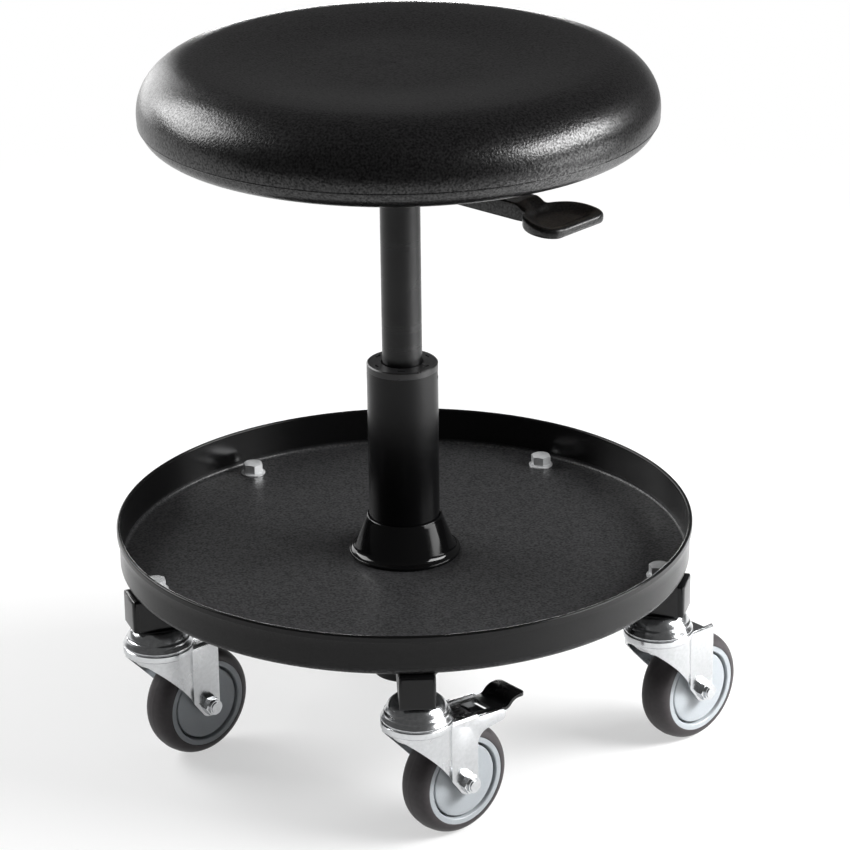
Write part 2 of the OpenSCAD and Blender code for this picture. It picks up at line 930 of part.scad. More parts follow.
module piston() {
    color("#38383a")
        translate([0, 0, piston_foot])
            difference() {
                pipe(cylinder_bore - piston_fit, stem_r + bond, piston_h);
                translate([0, 0, piston_h / 2 - clip_t])
                    pipe(cylinder_bore, cylinder_bore - cylinder_wall, 2 * clip_t);
            }
}

// The spring clip under the tube's bottom and the bearing's upper washer
module rod_retainer() {
    clip_foot = tube_foot + base_recess - clear - clip_t;
    color("#c9cccd") {
        translate([0, 0, clip_foot + bond])
            difference() {
                pipe(clip_r, stud_r - clip_groove + bond, clip_t - 2 * bond);
                translate([0, -clip_groove, -cut])
                    cube([clip_r + cut, 2 * clip_groove, clip_t + 2 * cut]);
            }
        translate([0, 0, rod_shoulder - washer_t])
            pipe(thrust_r, stud_r + bond, washer_t);
    }
}

module gas_cylinder() {
    color("#202023")
        rotate_extrude()
            polygon([[rod_r + play, cylinder_foot], [cylinder_r - clip_groove, cylinder_foot],
                [cylinder_r, cylinder_foot + clip_groove], [cylinder_r, socket_foot],
                [cylinder_r - taper_in, cylinder_top], [valve_r + valve_fit, cylinder_top],
                [valve_r + valve_fit, cylinder_top - valve_bore], [0, cylinder_top - valve_bore],
                [0, cylinder_top - valve_block], [cylinder_bore, cylinder_top - valve_block],
                [cylinder_bore, cylinder_foot + cylinder_plug],
                [rod_r + play, cylinder_foot + cylinder_plug]]);
}

module release_pin() {
    foot = cylinder_top - valve_bore + valve_up;
    top = cylinder_top + valve_up;
    color("#d9dcde")
        rotate_extrude()
            polygon([[0, foot], [valve_r, foot], [valve_r, top - 2 * clip_groove],
                [valve_r - clip_groove, top - clip_groove], [clip_groove, top], [0, top]]);
}

// Seat fixings

socket_len = 25.5;
socket_wall = 4;
web_t = 2.5;
web_foot = socket_foot + socket_len;
bracket_in = 19;
bracket_back = 24;
bracket_front = 40;
bracket_nose = 6.7;
plate_t = 2.5;
plate_in = 1.7;
plate_foot = seat_foot + plate_in;
plate_l = 170;
plate_w = 130;
plate_round = 16;
bolt_x = 70;
bolt_y = 50;
pan_margin = 27.5;
pan_r = seat_d / 2 - pan_margin;
pan_t = 9;
pan_gap = 0.5;
pan_foot = plate_foot + plate_t;

function taper_r(z) = cylinder_r - taper_in * (z - socket_foot) / (cylinder_top - socket_foot);

module taper_socket() {
    color("#3a3a3d")
        rotate_extrude()
            polygon([[taper_r(socket_foot) + bond, socket_foot],
                [cylinder_r + socket_wall - clip_groove, socket_foot],
                [cylinder_r + socket_wall, socket_foot + clip_groove], [cylinder_r + socket_wall, web_foot],
                [taper_r(web_foot) + bond, web_foot]]);
}

// A pressed channel that holds the lever's pin, with a web over the socket
module lever_bracket() {
    color("#2a2a2c")
        at_lever()
            difference() {
                union() {
                    translate([-bracket_back, -bracket_in - web_t, web_foot])
                        cube([2 * bracket_back, 2 * (bracket_in + web_t), web_t]);
                    for (side = [-1, 1])
                        translate([0, side * (bracket_in + web_t / 2), 0])
                            across(web_t)
                                union() {
                                    polygon([[-bracket_back, web_foot], [bracket_back, web_foot],
                                        [bracket_front, web_foot + bracket_nose],
                                        [bracket_front, plate_foot],
                                        [-bracket_back, plate_foot]]);
                                }
                }
                translate([0, 0, web_foot - cut])
                    cylinder(r = taper_r(web_foot) + clear, h = web_t + 2 * cut);
                translate([lever_pin_x, 0, lever_pin_z])
                    rotate([90, 0, 0])
                        cylinder(r = lever_pin_r + bond, h = plate_w, center = true);
            }
}

module bolt_places() {
    for (x = [-1, 1])
        for (y = [-1, 1])
            translate([x * bolt_x, y * bolt_y, 0])
                children();
}

bead_w = 10;
bead_l = 80;
bead_h = 1.5;
bead_y = 40;
bead_round = 4.9;

// Seat plate: four fixing holes, and two pressed beads that stiffen it
module mount_plate() {
    color("#2a2a2c")
        at_lever()
            difference() {
                union() {
                    translate([0, 0, plate_foot])
                        linear_extrude(plate_t)
                            round_rect(plate_l, plate_w, plate_round);
                    for (side = [-1, 1])
                        translate([0, side * bead_y, plate_foot - bead_h])
                            linear_extrude(bead_h)
                                round_rect(bead_l, bead_w, bead_round);
                }
                bolt_places()
                    translate([0, 0, plate_foot - cut])
                        cylinder(r = m6_r + m8_hole, h = plate_t + 2 * cut);
            }
}

module seat_bolts() {
    color("#aeb1b3")
        at_lever()
            bolt_places() {
                translate([0, 0, plate_foot])
                    mirror([0, 0, 1])
                        hex_prism(m6_flats, m6_head);
                translate([0, 0, plate_foot])
                    cylinder(r = m6_r, h = plate_t + pan_t);
            }
}

module seat_pan() {
    color("#8d6f4c")
        at_lever()
            difference() {
                translate([0, 0, pan_foot])
                    cylinder(r = pan_r, h = pan_t);
                bolt_places()
                    translate([0, 0, pan_foot - cut])
                        cylinder(r = m6_r + bond, h = pan_t + 2 * cut);
            }
}

// Cushion: a full rounded edge, drawn in below to the parting line and the foot,
// and a shallow dish inside the crest
top_power = 2.1;
low_power = 2.3;
foot_in = 20;
part_step = 0.6;
crown_steps = 12;
foot_steps = 8;
dish_steps = 8;

module cushion() {
    r = seat_d / 2;
    waist = seat_foot + waist_h;
    pocket = pan_foot + pan_t + pan_gap;
    low = [for (i = [foot_steps : -1 : 1])
        let (a = 90 * i / foot_steps, z = waist - waist_h * pow(sin(a), 2 / low_power),
            step = z < seat_foot + parting_h ? part_step : 0)
        [r - foot_in + foot_in * pow(cos(a), 2 / low_power) - step, z]];
    up = [for (i = [0 : crown_steps])
        let (a = 90 * i / crown_steps)
        [r - crown_w + crown_w * pow(cos(a), 2 / top_power),
            waist + (seat_h - waist_h) * pow(sin(a), 2 / top_power)]];
    crest = r - crown_w;
    dish = [for (i = [1 : dish_steps])
        let (s = i / dish_steps)
        [crest + s * (dish_flat_d / 2 - crest), seat_top - dish_h * (1 - cos(180 * s)) / 2]];
    color("#1e1d1f")
        rotate_extrude()
            polygon(concat([[0, pocket], [pan_r + pan_gap, pocket], [pan_r + pan_gap, seat_foot]],
                low, up, dish, [[0, seat_top - dish_h]]));
}

// Lever

lever_pin_x = 30;
lever_pin_r = 2.5;
lever_pin_rise = 7;
lever_pin_z = cylinder_top + lever_pin_rise;
eye_r = 5;
bar_w = 16;
bar_t = 4;
bar_back = 7;
crank_in = 38;
crank_out = 50;
bar_margin = 67.5;
bar_end = lever_reach - bar_margin;
stem_start = 58;
stem_rise = 8.6;
stem_foot = socket_foot + stem_rise;
bar_foot = stem_foot + stem_h / 2 - bar_t / 2;
bar_fit = 0.1;
ramp_in = 46;
ramp_l = 6;

pin_head_r = 3.2;
pin_head_t = 1;

module lever_pin() {
    color("#c9cccd")
        at_lever()
            translate([lever_pin_x, 0, lever_pin_z])
                rotate([90, 0, 0]) {
                    cylinder(r = lever_pin_r, h = 2 * (bracket_in + web_t), center = true);
                    for (side = [0, 1])
                        mirror([0, 0, side])
                            translate([0, 0, bracket_in + web_t])
                                cylinder(r1 = pin_head_r + pin_head_t, r2 = pin_head_r, h = pin_head_t);
                }
}

// A cranked steel bar: it presses on the release pin, turns on the lever pin and steps down
// to the handle
module lever_arm() {
    high = lever_pin_z - bar_t / 2;
    mitre = bar_t * tan(atan2(high - bar_foot, crank_out - crank_in) / 2);
    color("#3a3a3d")
        at_lever()
            difference() {
                union() {
                    across(bar_w)
                        polygon([[-bar_back, high], [crank_in, high], [crank_out, bar_foot],
                            [bar_end, bar_foot], [bar_end, bar_foot + bar_t],
                            [crank_out + mitre, bar_foot + bar_t], [crank_in + mitre, high + bar_t],
                            [-bar_back, high + bar_t]]);
                    translate([lever_pin_x, 0, lever_pin_z])
                        rotate([90, 0, 0])
                            cylinder(r = eye_r, h = 2 * (bracket_in - clear), center = true);
                }
                translate([lever_pin_x, 0, lever_pin_z])
                    rotate([90, 0, 0])
                        cylinder(r = lever_pin_r + play, h = plate_w, center = true);
            }
}

paddle_corner = 12.5;
paddle_flare = 27;
flare_share = 0.06;
neck_r = 4;
end_drop = 2.2;
end_round = 2.5;
dish_in = 25;
dish_floor_r = 15;
dish_mouth_r = 21;
dish_depth = 3;

function arc(centre, r, from, to) = [for (i = [0 : arc_steps])
    let (a = from + (to - from) * i / arc_steps) centre + r * [cos(a), sin(a)]];

// Half the handle's plan: a straight stem that flares through a hollow neck to the paddle
function handle_side() =
    let (half = paddle_w / 2,
        flare = [lever_reach - paddle_corner - paddle_flare * flare_share, half - paddle_flare],
        neck_y = stem_w / 2 + neck_r,
        neck = [flare[0] - sqrt(pow(paddle_flare + neck_r, 2) - pow(neck_y - flare[1], 2)), neck_y],
        tangent = atan2(flare[1] - neck[1], flare[0] - neck[0]))
    concat([[stem_start, stem_w / 2]], arc(neck, neck_r, -90, tangent),
        arc(flare, paddle_flare, tangent + 180, 90),
        arc([lever_reach - paddle_corner, half - paddle_corner], paddle_corner, 90, 0));

module lever_handle() {
    rim = stem_foot + paddle_t;
    side = handle_side();
    color("#161617")
        at_lever()
            difference() {
                intersection() {
                    translate([0, 0, stem_foot - cut])
                        linear_extrude(stem_h + 2 * cut)
                            polygon(concat(side, flipped(side)));
                    across(2 * paddle_w)
                        polygon([[stem_start, stem_foot], [stem_start, stem_foot + stem_h],
                            [lever_reach - ramp_in, stem_foot + stem_h],
                            [lever_reach - ramp_in + ramp_l, rim],
                            [lever_reach - end_round, rim - end_drop],
                            [lever_reach, rim - end_drop - end_round],
                            [lever_reach, stem_foot + end_round], [lever_reach - end_round, stem_foot]]);
                }
                translate([lever_reach - dish_in, 0, rim])
                    rotate_extrude()
                        polygon([[0, -dish_depth], [dish_floor_r, -dish_depth], [dish_mouth_r, 0],
                            [dish_mouth_r, stem_h], [0, stem_h]]);
                translate([0, -bar_w / 2 - bar_fit, bar_foot - bar_fit])
                    cube([bar_end + bar_fit, bar_w + 2 * bar_fit, bar_t + 2 * bar_fit]);
            }
}

hub();
arm(0);  // arm_front
arm(1);  // arm_right
arm(2);  // arm_back_right
arm(3);  // arm_back_left
arm(4);  // arm_left
arm_caps();
tray();
collar();
column_tube();
guide_bush();
castor_bolts();
castor_races();
castor_sleeves();
castor_nuts();
castor_balls();
thrust_bearing();
piston_rod();
piston();
rod_retainer();
gas_cylinder();
taper_socket();
lever_bracket();
mount_plate();
seat_pan();
cushion();
seat_bolts();
lever_pin();
lever_arm();
lever_handle();
release_pin();
fork(0, true);  // fork_front
fork(1, false);  // fork_right
fork(2, false);  // fork_back_right
fork(3, false);  // fork_back_left
fork(4, false);  // fork_left
axle(0);  // axle_front
axle(1);  // axle_right
axle(2);  // axle_back_right
axle(3);  // axle_back_left
axle(4);  // axle_left
guards(0);  // guards_front
guards(1);  // guards_right
guards(2);  // guards_back_right
guards(3);  // guards_back_left
guards(4);  // guards_left
core(0);  // core_front
core(1);  // core_right
core(2);  // core_back_right
core(3);  // core_back_left
core(4);  // core_left
tyre(0);  // tyre_front
tyre(1);  // tyre_right
tyre(2);  // tyre_back_right
tyre(3);  // tyre_back_left
tyre(4);  // tyre_left
brake_pedal();
brake_shoe();
brake_pin();
brake_spring();
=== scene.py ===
import math
import bpy
import numpy as np
from mathutils import Matrix, Vector


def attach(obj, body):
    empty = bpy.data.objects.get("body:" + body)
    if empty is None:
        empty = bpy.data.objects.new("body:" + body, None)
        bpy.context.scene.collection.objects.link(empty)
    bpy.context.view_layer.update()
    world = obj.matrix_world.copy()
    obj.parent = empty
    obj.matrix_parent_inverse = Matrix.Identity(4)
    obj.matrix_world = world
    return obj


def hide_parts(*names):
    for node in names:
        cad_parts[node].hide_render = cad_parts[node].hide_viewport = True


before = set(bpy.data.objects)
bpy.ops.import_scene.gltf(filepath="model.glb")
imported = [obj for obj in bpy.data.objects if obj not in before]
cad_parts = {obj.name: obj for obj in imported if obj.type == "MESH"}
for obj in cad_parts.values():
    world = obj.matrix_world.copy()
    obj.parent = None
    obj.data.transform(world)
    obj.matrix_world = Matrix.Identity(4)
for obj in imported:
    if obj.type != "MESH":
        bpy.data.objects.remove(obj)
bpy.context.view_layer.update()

# The view. The camera looks down on the seat from the front, as the photograph does:
# a long lens two metres away, turned a little to the right and rolled by less than a degree.
view_place = Vector((-0.07277, -2.19369, 1.1119))
view_turn = math.radians(2.2995)
view_dip = math.radians(21.905)
view_roll = -0.0123356
view_lens = 142.674

ahead = Vector((math.sin(view_turn) * math.cos(view_dip),
                math.cos(view_turn) * math.cos(view_dip), -math.sin(view_dip)))
level = Vector((math.cos(view_turn), -math.sin(view_turn), 0))
upward = level.cross(ahead)
right = level * math.cos(view_roll) + upward * math.sin(view_roll)
top = upward * math.cos(view_roll) - level * math.sin(view_roll)
view = bpy.data.objects.new("view", bpy.data.cameras.new("view"))
bpy.context.collection.objects.link(view)
facing = Matrix((right, top, -ahead)).transposed().to_4x4()
view.matrix_world = Matrix.Translation(view_place) @ facing
view.data.lens = view_lens
view.data.sensor_width = 36
view.data.clip_end = 50
bpy.context.scene.camera = view
bpy.context.scene.view_settings.view_transform = "Standard"

# The stage: a wide white floor that keeps the soft shadow, before a white wall. The camera sees
# white all round. Gloss and metal see the white wall low down on the left, where the light falls on
# it, and the dim room over it, on its right and behind the camera. Away from the seat the floor
# goes over into plain white.
floor_size = 3.6
floor_tint = (1.0, 1.0, 1.0, 1)
floor_bounce = (0.45, 0.45, 0.45, 1)
floor_glow = 0.54
glow_near, glow_far = 0.45, 1.5
room_light = 0.06
dim_above = 0.11
dim_behind = 0.05
dim_right = 0.12
wall_top = (-0.08, 0.04)
wall_end = (-0.45, 0.05)
wall_side = (0.0, 0.6)


def seen_directly(nodes, links):
    """1 for rays from the camera, off a glossy surface or through a clear one, else 0."""
    path = nodes.new("ShaderNodeLightPath")
    total = nodes.new("ShaderNodeMath")
    total.operation = "ADD"
    links.new(path.outputs["Is Camera Ray"], total.inputs[0])
    links.new(path.outputs["Is Glossy Ray"], total.inputs[1])
    clear = nodes.new("ShaderNodeMath")
    clear.operation = "ADD"
    clear.use_clamp = True
    links.new(total.outputs[0], clear.inputs[0])
    links.new(path.outputs["Is Transmission Ray"], clear.inputs[1])
    return clear.outputs[0]


def slope(nodes, links, value, start, stop, low, high):
    """A smooth change from low to high as the value goes from start to stop. Low and high are
    each a number or a socket."""
    change = nodes.new("ShaderNodeMapRange")
    change.interpolation_type = "SMOOTHSTEP"
    change.inputs["From Min"].default_value = start
    change.inputs["From Max"].default_value = stop
    for name, number in (("To Min", low), ("To Max", high)):
        if isinstance(number, float):
            change.inputs[name].default_value = number
        else:
            links.new(number, change.inputs[name])
    links.new(value, change.inputs["Value"])
    return change.outputs["Result"]


room = bpy.data.worlds.new("room")
bpy.context.scene.world = room
room.use_nodes = True
nodes, links = room.node_tree.nodes, room.node_tree.links
nodes.clear()
# how bright the room is in the direction of a glossy ray
direction = nodes.new("ShaderNodeTexCoord")
part = nodes.new("ShaderNodeSeparateXYZ")
links.new(direction.outputs["Generated"], part.inputs[0])
lit_wall = slope(nodes, links, part.outputs["X"], *wall_side, 1.0, dim_right)
wall = slope(nodes, links, part.outputs["Y"], *wall_end, dim_behind, lit_wall)
brightness = slope(nodes, links, part.outputs["Z"], *wall_top, wall, dim_above)
path = nodes.new("ShaderNodeLightPath")
to_camera = nodes.new("ShaderNodeMix")
links.new(path.outputs["Is Camera Ray"], to_camera.inputs[0])
links.new(brightness, to_camera.inputs[2])
to_camera.inputs[3].default_value = 1
lit = nodes.new("ShaderNodeBackground")
lit.inputs["Color"].default_value = (1, 1, 1, 1)
lit.inputs["Strength"].default_value = room_light
white = nodes.new("ShaderNodeBackground")
white.inputs["Color"].default_value = (1, 1, 1, 1)
links.new(to_camera.outputs[0], white.inputs["Strength"])
mix = nodes.new("ShaderNodeMixShader")
links.new(seen_directly(nodes, links), mix.inputs[0])
links.new(lit.outputs[0], mix.inputs[1])
links.new(white.outputs[0], mix.inputs[2])
end = nodes.new("ShaderNodeOutputWorld")
links.new(mix.outputs[0], end.inputs[0])

stage_mesh = bpy.data.meshes.new("floor")
half = floor_size / 2
stage_mesh.from_pydata([(-half, -half, 0), (half, -half, 0), (half, half, 0), (-half, half, 0)],
                       [], [(0, 1, 2, 3)])
floor = bpy.data.objects.new("floor", stage_mesh)
bpy.context.collection.objects.link(floor)
floor_paint = bpy.data.materials.new("floor")
floor_paint.use_nodes = True
nodes, links = floor_paint.node_tree.nodes, floor_paint.node_tree.links
nodes.clear()
matt = nodes.new("ShaderNodeBsdfDiffuse")
shade = nodes.new("ShaderNodeMix")
shade.data_type = "RGBA"
shade.inputs[6].default_value = floor_bounce
shade.inputs[7].default_value = floor_tint
links.new(seen_directly(nodes, links), shade.inputs[0])
links.new(shade.outputs[2], matt.inputs["Color"])
glow = nodes.new("ShaderNodeEmission")
glow.inputs["Color"].default_value = (1, 1, 1, 1)
spot = nodes.new("ShaderNodeTexCoord")
away = nodes.new("ShaderNodeVectorMath")
away.operation = "LENGTH"
links.new(spot.outputs["Object"], away.inputs[0])
glowing = slope(nodes, links, away.outputs["Value"], glow_near, glow_far, floor_glow, 1.0)
share = nodes.new("ShaderNodeMath")
share.operation = "MULTIPLY"
links.new(glowing, share.inputs[1])
links.new(seen_directly(nodes, links), share.inputs[0])
mix = nodes.new("ShaderNodeMixShader")
links.new(share.outputs[0], mix.inputs[0])
links.new(matt.outputs[0], mix.inputs[1])
links.new(glow.outputs[0], mix.inputs[2])
# from below the floor is clear, so that the underside can be looked at
side = nodes.new("ShaderNodeNewGeometry")
clear = nodes.new("ShaderNodeBsdfTransparent")
one_way = nodes.new("ShaderNodeMixShader")
links.new(side.outputs["Backfacing"], one_way.inputs[0])
links.new(mix.outputs[0], one_way.inputs[1])
links.new(clear.outputs[0], one_way.inputs[2])
end = nodes.new("ShaderNodeOutputMaterial")
links.new(one_way.outputs[0], end.inputs[0])
floor.data.materials.append(floor_paint)

# Studio light: a large soft box on the right is the main light, and two behind on the left rim the
# seat and the column. A small one overhead only fills, and another lights the floor on the right,
# which glows along the cylinder. Two cards show only as reflections in the gloss: a low one on the
# right, and a narrow one far behind, which draws the fine bright line along the tray's rim.
# Each has its place, what it aims at, its size, power, the surfaces it shows on, and its spread.
soft_boxes = [
    ("over_box", (0.3, 0.3, 2.6), (0, 0, 0.2), (1.6, 1.6), 10, "diffuse", 180),
    ("right_box", (2.34, -0.42, 1.58), (0, -0.1, 0.4), (2.1, 1.0), 112, "both", 180),
    ("low_card", (1.70, -0.42, 0.26), (0, 0, 0.3), (1.2, 0.4), 8, "glossy", 180),
    ("back_card", (0.05, 2.50, 0.27), (0, 0, 0.17), (0.7, 0.22), 7, "glossy", 180),
    ("pool_box", (1.3, -0.35, 0.75), (1.05, -0.3, 0), (0.5, 0.5), 32, "diffuse", 80),
    ("left_box", (-2.05, 1.08, 1.62), (0, 0, 0.45), (1.8, 1.4), 64, "both", 180),
    ("rim_box", (-1.25, 2.05, 0.80), (0, 0, 0.45), (1.3, 1.1), 13, "both", 180),
]
for name, place, aim, size, power, seen, spread in soft_boxes:
    lamp = bpy.data.lights.new(name, "AREA")
    lamp.shape = "RECTANGLE"
    lamp.size, lamp.size_y = size
    lamp.energy = power
    lamp.spread = math.radians(spread)
    box = bpy.data.objects.new(name, lamp)
    box.location = place
    box.rotation_euler = (Vector(aim) - Vector(place)).to_track_quat("-Z", "Y").to_euler()
    box.visible_camera = False
    box.visible_glossy = seen != "diffuse"
    box.visible_diffuse = seen != "glossy"
    bpy.context.collection.objects.link(box)

# Hub and arms: a turned steel hub with a tapered bore, and five pieces of square steel tube
# welded round it, all under one coat of black powder that leaves a fine orange-peel surface.
mm = 0.001
noise_span = (0.3, 0.7)


def coating(name, colour, rough, gloss=0.5, grain=0.0, grain_size=1.0, metal=0.0, fleck=0.0,
            wear=0.06, dots=0.0, wall_calm_and_shade=None, rings=0.0):
    """A finish. The grain is a rounded noise of grain_size mm that lifts the surface by grain mm.
    fleck is how far the noise darkens or lightens the colour, dots how far it weakens or
    strengthens the mirror part, whose level is gloss, and wear how far a slower noise moves the
    roughness. wall_calm_and_shade is (height mm, height mm, share, share) between which the grain
    falls to the first share, the colour is darkened to the first share as a painted shade, and the
    roughness falls to the second. rings is how much turning has drawn the slow noise out round the
    column."""
    material = bpy.data.materials.new(name)
    material.use_nodes = True
    nodes, links = material.node_tree.nodes, material.node_tree.links
    skin = nodes["Principled BSDF"]
    skin.inputs["Base Color"].default_value = (*colour, 1)
    skin.inputs["Metallic"].default_value = metal
    skin.inputs["Specular IOR Level"].default_value = gloss
    place = nodes.new("ShaderNodeTexCoord").outputs["Object"]

    def noise(where, scale, detail, roughness):
        """A noise over the place where it is looked up."""
        node = nodes.new("ShaderNodeTexNoise")
        node.inputs["Scale"].default_value = scale
        node.inputs["Detail"].default_value = detail
        node.inputs["Roughness"].default_value = roughness
        links.new(where, node.inputs["Vector"])
        return node.outputs["Fac"]

    def ranged(value, start, stop, low, high):
        """The value's span from start to stop is carried to low to high."""
        node = nodes.new("ShaderNodeMapRange")
        sockets = ("From Min", "From Max", "To Min", "To Max")
        for socket, number in zip(sockets, (start, stop, low, high)):
            node.inputs[socket].default_value = number
        links.new(value, node.inputs["Value"])
        return node.outputs["Result"]

    def scaled(shade, factor):
        """A shade, given as a colour or a socket, times the factor."""
        node = nodes.new("ShaderNodeVectorMath")
        node.operation = "SCALE"
        if isinstance(shade, tuple):
            node.inputs[0].default_value = shade
        else:
            links.new(shade, node.inputs[0])
        links.new(factor, node.inputs["Scale"])
        return node.outputs[0]

    where = place
    if rings:
        drawn = nodes.new("ShaderNodeMapping")
        drawn.inputs["Scale"].default_value = (0.4, 0.4, rings)
        links.new(place, drawn.inputs["Vector"])
        where = drawn.outputs[0]
    haze = ranged(noise(where, 28, 4, 0.5), *noise_span, max(rough - wear, 0.03),
                  min(rough + wear, 1))
    height = noise(place, 1 / (grain_size * mm), 1, 0.4)
    if wall_calm_and_shade:
        low, high, painted_shade_share, haze_share = wall_calm_and_shade
        depth = nodes.new("ShaderNodeSeparateXYZ")
        links.new(place, depth.inputs[0])
        grain_kept_and_shade = ranged(depth.outputs["Z"], low * mm, high * mm, 1, painted_shade_share)
        smoother = nodes.new("ShaderNodeMath")
        smoother.operation = "MULTIPLY"
        links.new(haze, smoother.inputs[0])
        links.new(ranged(depth.outputs["Z"], low * mm, high * mm, 1, haze_share),
                  smoother.inputs[1])
        haze = smoother.outputs[0]
        calm = nodes.new("ShaderNodeMix")
        links.new(grain_kept_and_shade, calm.inputs[0])
        calm.inputs[2].default_value = 0.5
        links.new(height, calm.inputs[3])
        height = calm.outputs[0]
    links.new(haze, skin.inputs["Roughness"])
    if fleck or wall_calm_and_shade:
        tint = scaled(colour, ranged(height, *noise_span, 1 - fleck, 1 + fleck))
        # painted shade: above the given heights the colour is darkened to the first share
        if wall_calm_and_shade:
            tint = scaled(tint, grain_kept_and_shade)
        links.new(tint, skin.inputs["Base Color"])
    if dots:
        links.new(ranged(height, *noise_span, gloss * (1 - dots), gloss * (1 + dots)),
                  skin.inputs["Specular IOR Level"])
    if grain:
        lift = nodes.new("ShaderNodeBump")
        lift.inputs["Distance"].default_value = grain * mm
        lift.inputs["Strength"].default_value = 1
        links.new(height, lift.inputs["Height"])
        links.new(lift.outputs["Normal"], skin.inputs["Normal"])
    return material


def finish(node, material, ease=0.0, angle=32):
    """A solid of the frame gets its finish. Its triangles are joined and shaded smooth up to
    angle degrees, and where ease is given its sharp edges are rounded by that many mm."""
    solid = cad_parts[node]
    for place in solid.material_slots:
        place.material = material
    if not solid.material_slots:
        solid.data.materials.append(material)
    smooth = np.ones(len(solid.data.polygons), dtype=bool)
    solid.data.polygons.foreach_set("use_smooth", smooth)
    join = solid.modifiers.new("join", "WELD")
    join.merge_threshold = 0.000002
    if ease:
        bevel = solid.modifiers.new("ease", "BEVEL")
        bevel.width = ease * mm
        bevel.segments = 2
        bevel.limit_method = "ANGLE"
        bevel.angle_limit = math.radians(40)
        bevel.use_clamp_overlap = True
    split = solid.modifiers.new("crease", "EDGE_SPLIT")
    split.split_angle = math.radians(angle)
    split.use_edge_sharp = False


def enclosed(points, faces):
    """Six times the volume inside the faces, each cut into triangles from its first corner. It
    comes out negative where they point inwards."""
    corners = [points[faces[:, s]] for s in range(faces.shape[1])]
    return sum((np.cross(corners[0], b) * c).sum() for b, c in zip(corners[1:], corners[2:]))


def surface(name, points, faces, material, body):
    """A piece made of new faces over points in metres, which rides on a body."""
    mesh = bpy.data.meshes.new(name)
    mesh.from_pydata(points.tolist(), [], faces)
    mesh.polygons.foreach_set("use_smooth", np.ones(len(mesh.polygons), dtype=bool))
    mesh.materials.append(material)
    piece = bpy.data.objects.new(name, mesh)
    bpy.context.collection.objects.link(piece)
    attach(piece, body)
    return piece


def grown(name, rows, material, body):
    """A closed skin over a grid of points in mm. rows[i, j] runs along the shape with i and right
    round it with j. Each cell is one face, and each end is closed round the middle of its row.
    If the faces turn out to point inwards, they are turned over."""
    m, n = rows.shape[:2]
    points = np.vstack([rows.reshape(-1, 3), rows[0].mean(0), rows[-1].mean(0)]) * mm
    i, j = np.meshgrid(np.arange(m - 1), np.arange(n), indexing="ij")
    k = (j + 1) % n
    cells = np.stack([i * n + j, i * n + k, (i + 1) * n + k, (i + 1) * n + j], axis=-1)
    cells = cells.reshape(-1, 4)
    j = np.arange(n)
    k = (j + 1) % n
    start = np.stack([np.full(n, m * n), k, j], axis=-1)
    stop = np.stack([np.full(n, m * n + 1), (m - 1) * n + j, (m - 1) * n + k], axis=-1)
    if sum(enclosed(points, faces) for faces in (cells, start, stop)) < 0:
        cells, start, stop = cells[:, ::-1], start[:, ::-1], stop[:, ::-1]
    faces = cells.tolist() + start.tolist() + stop.tolist()
    return surface(name, points, faces, material, body)


def banded(name, rows, material, body):
    """A closed band, like a ring or a pipe bent round on itself. Its grid of points in mm closes
    on itself both ways, and its faces are turned outwards as above. Where rows holds several
    grids, the bands make up one piece."""
    points, cells, count = [], [], 0
    for grid in rows:
        m, n = grid.shape[:2]
        band = grid.reshape(-1, 3) * mm
        i, j = np.meshgrid(np.arange(m), np.arange(n), indexing="ij")
        ii, jj = (i + 1) % m, (j + 1) % n
        four = np.stack([i * n + j, i * n + jj, ii * n + jj, ii * n + j], axis=-1).reshape(-1, 4)
        if enclosed(band - band.mean(0), four) < 0:
            four = four[:, ::-1]
        points.append(band)
        cells.append(four + count)
        count += len(band)
    return surface(name, np.vstack(points), np.vstack(cells).tolist(), material, body)


def turned(outline, steps, middle=(0, 0)):
    """The grid of a closed outline of (radius, height) points carried round an upright axis."""
    turn = np.linspace(0, 2 * math.pi, steps, endpoint=False)[:, None]
    r, z = outline[:, 0][None], outline[:, 1][None]
    return np.stack([middle[0] + r * np.cos(turn), middle[1] + r * np.sin(turn), z + 0 * turn],
                    axis=-1)


def bend(x, z, r, start, stop, count=7):
    """Points of an arc of radius r round (x, z), from one angle in degrees to another."""
    a = np.radians(np.linspace(start, stop, count))
    return np.stack([x + r * np.cos(a), z + r * np.sin(a)], axis=-1)


powder = coating("black_powder", (0.007, 0.007, 0.0075), 0.36, gloss=0.3, grain=0.03,
                 grain_size=0.9, fleck=0.15)
finish("hub", powder)
arms = ["front", "right", "back_right", "back_left", "left"]
arm_turns = [72 * k - 90 for k in range(len(arms))]
for arm in arms:
    finish("arm_" + arm, powder, ease=0.2)

# Welds: a bead runs down each side of an arm and under it, in the corner where it meets the hub.
# The arc leaves a row of small overlapping scales along it, still seen through the powder.
hub_r = 30.0
arm_half = 12.5
arm_low, arm_high = 108.0, 133.0
tube_round = 1.5
bead_r = 2.4
scale_pitch, scale_share = 2.2, 0.1
end_share = 0.55


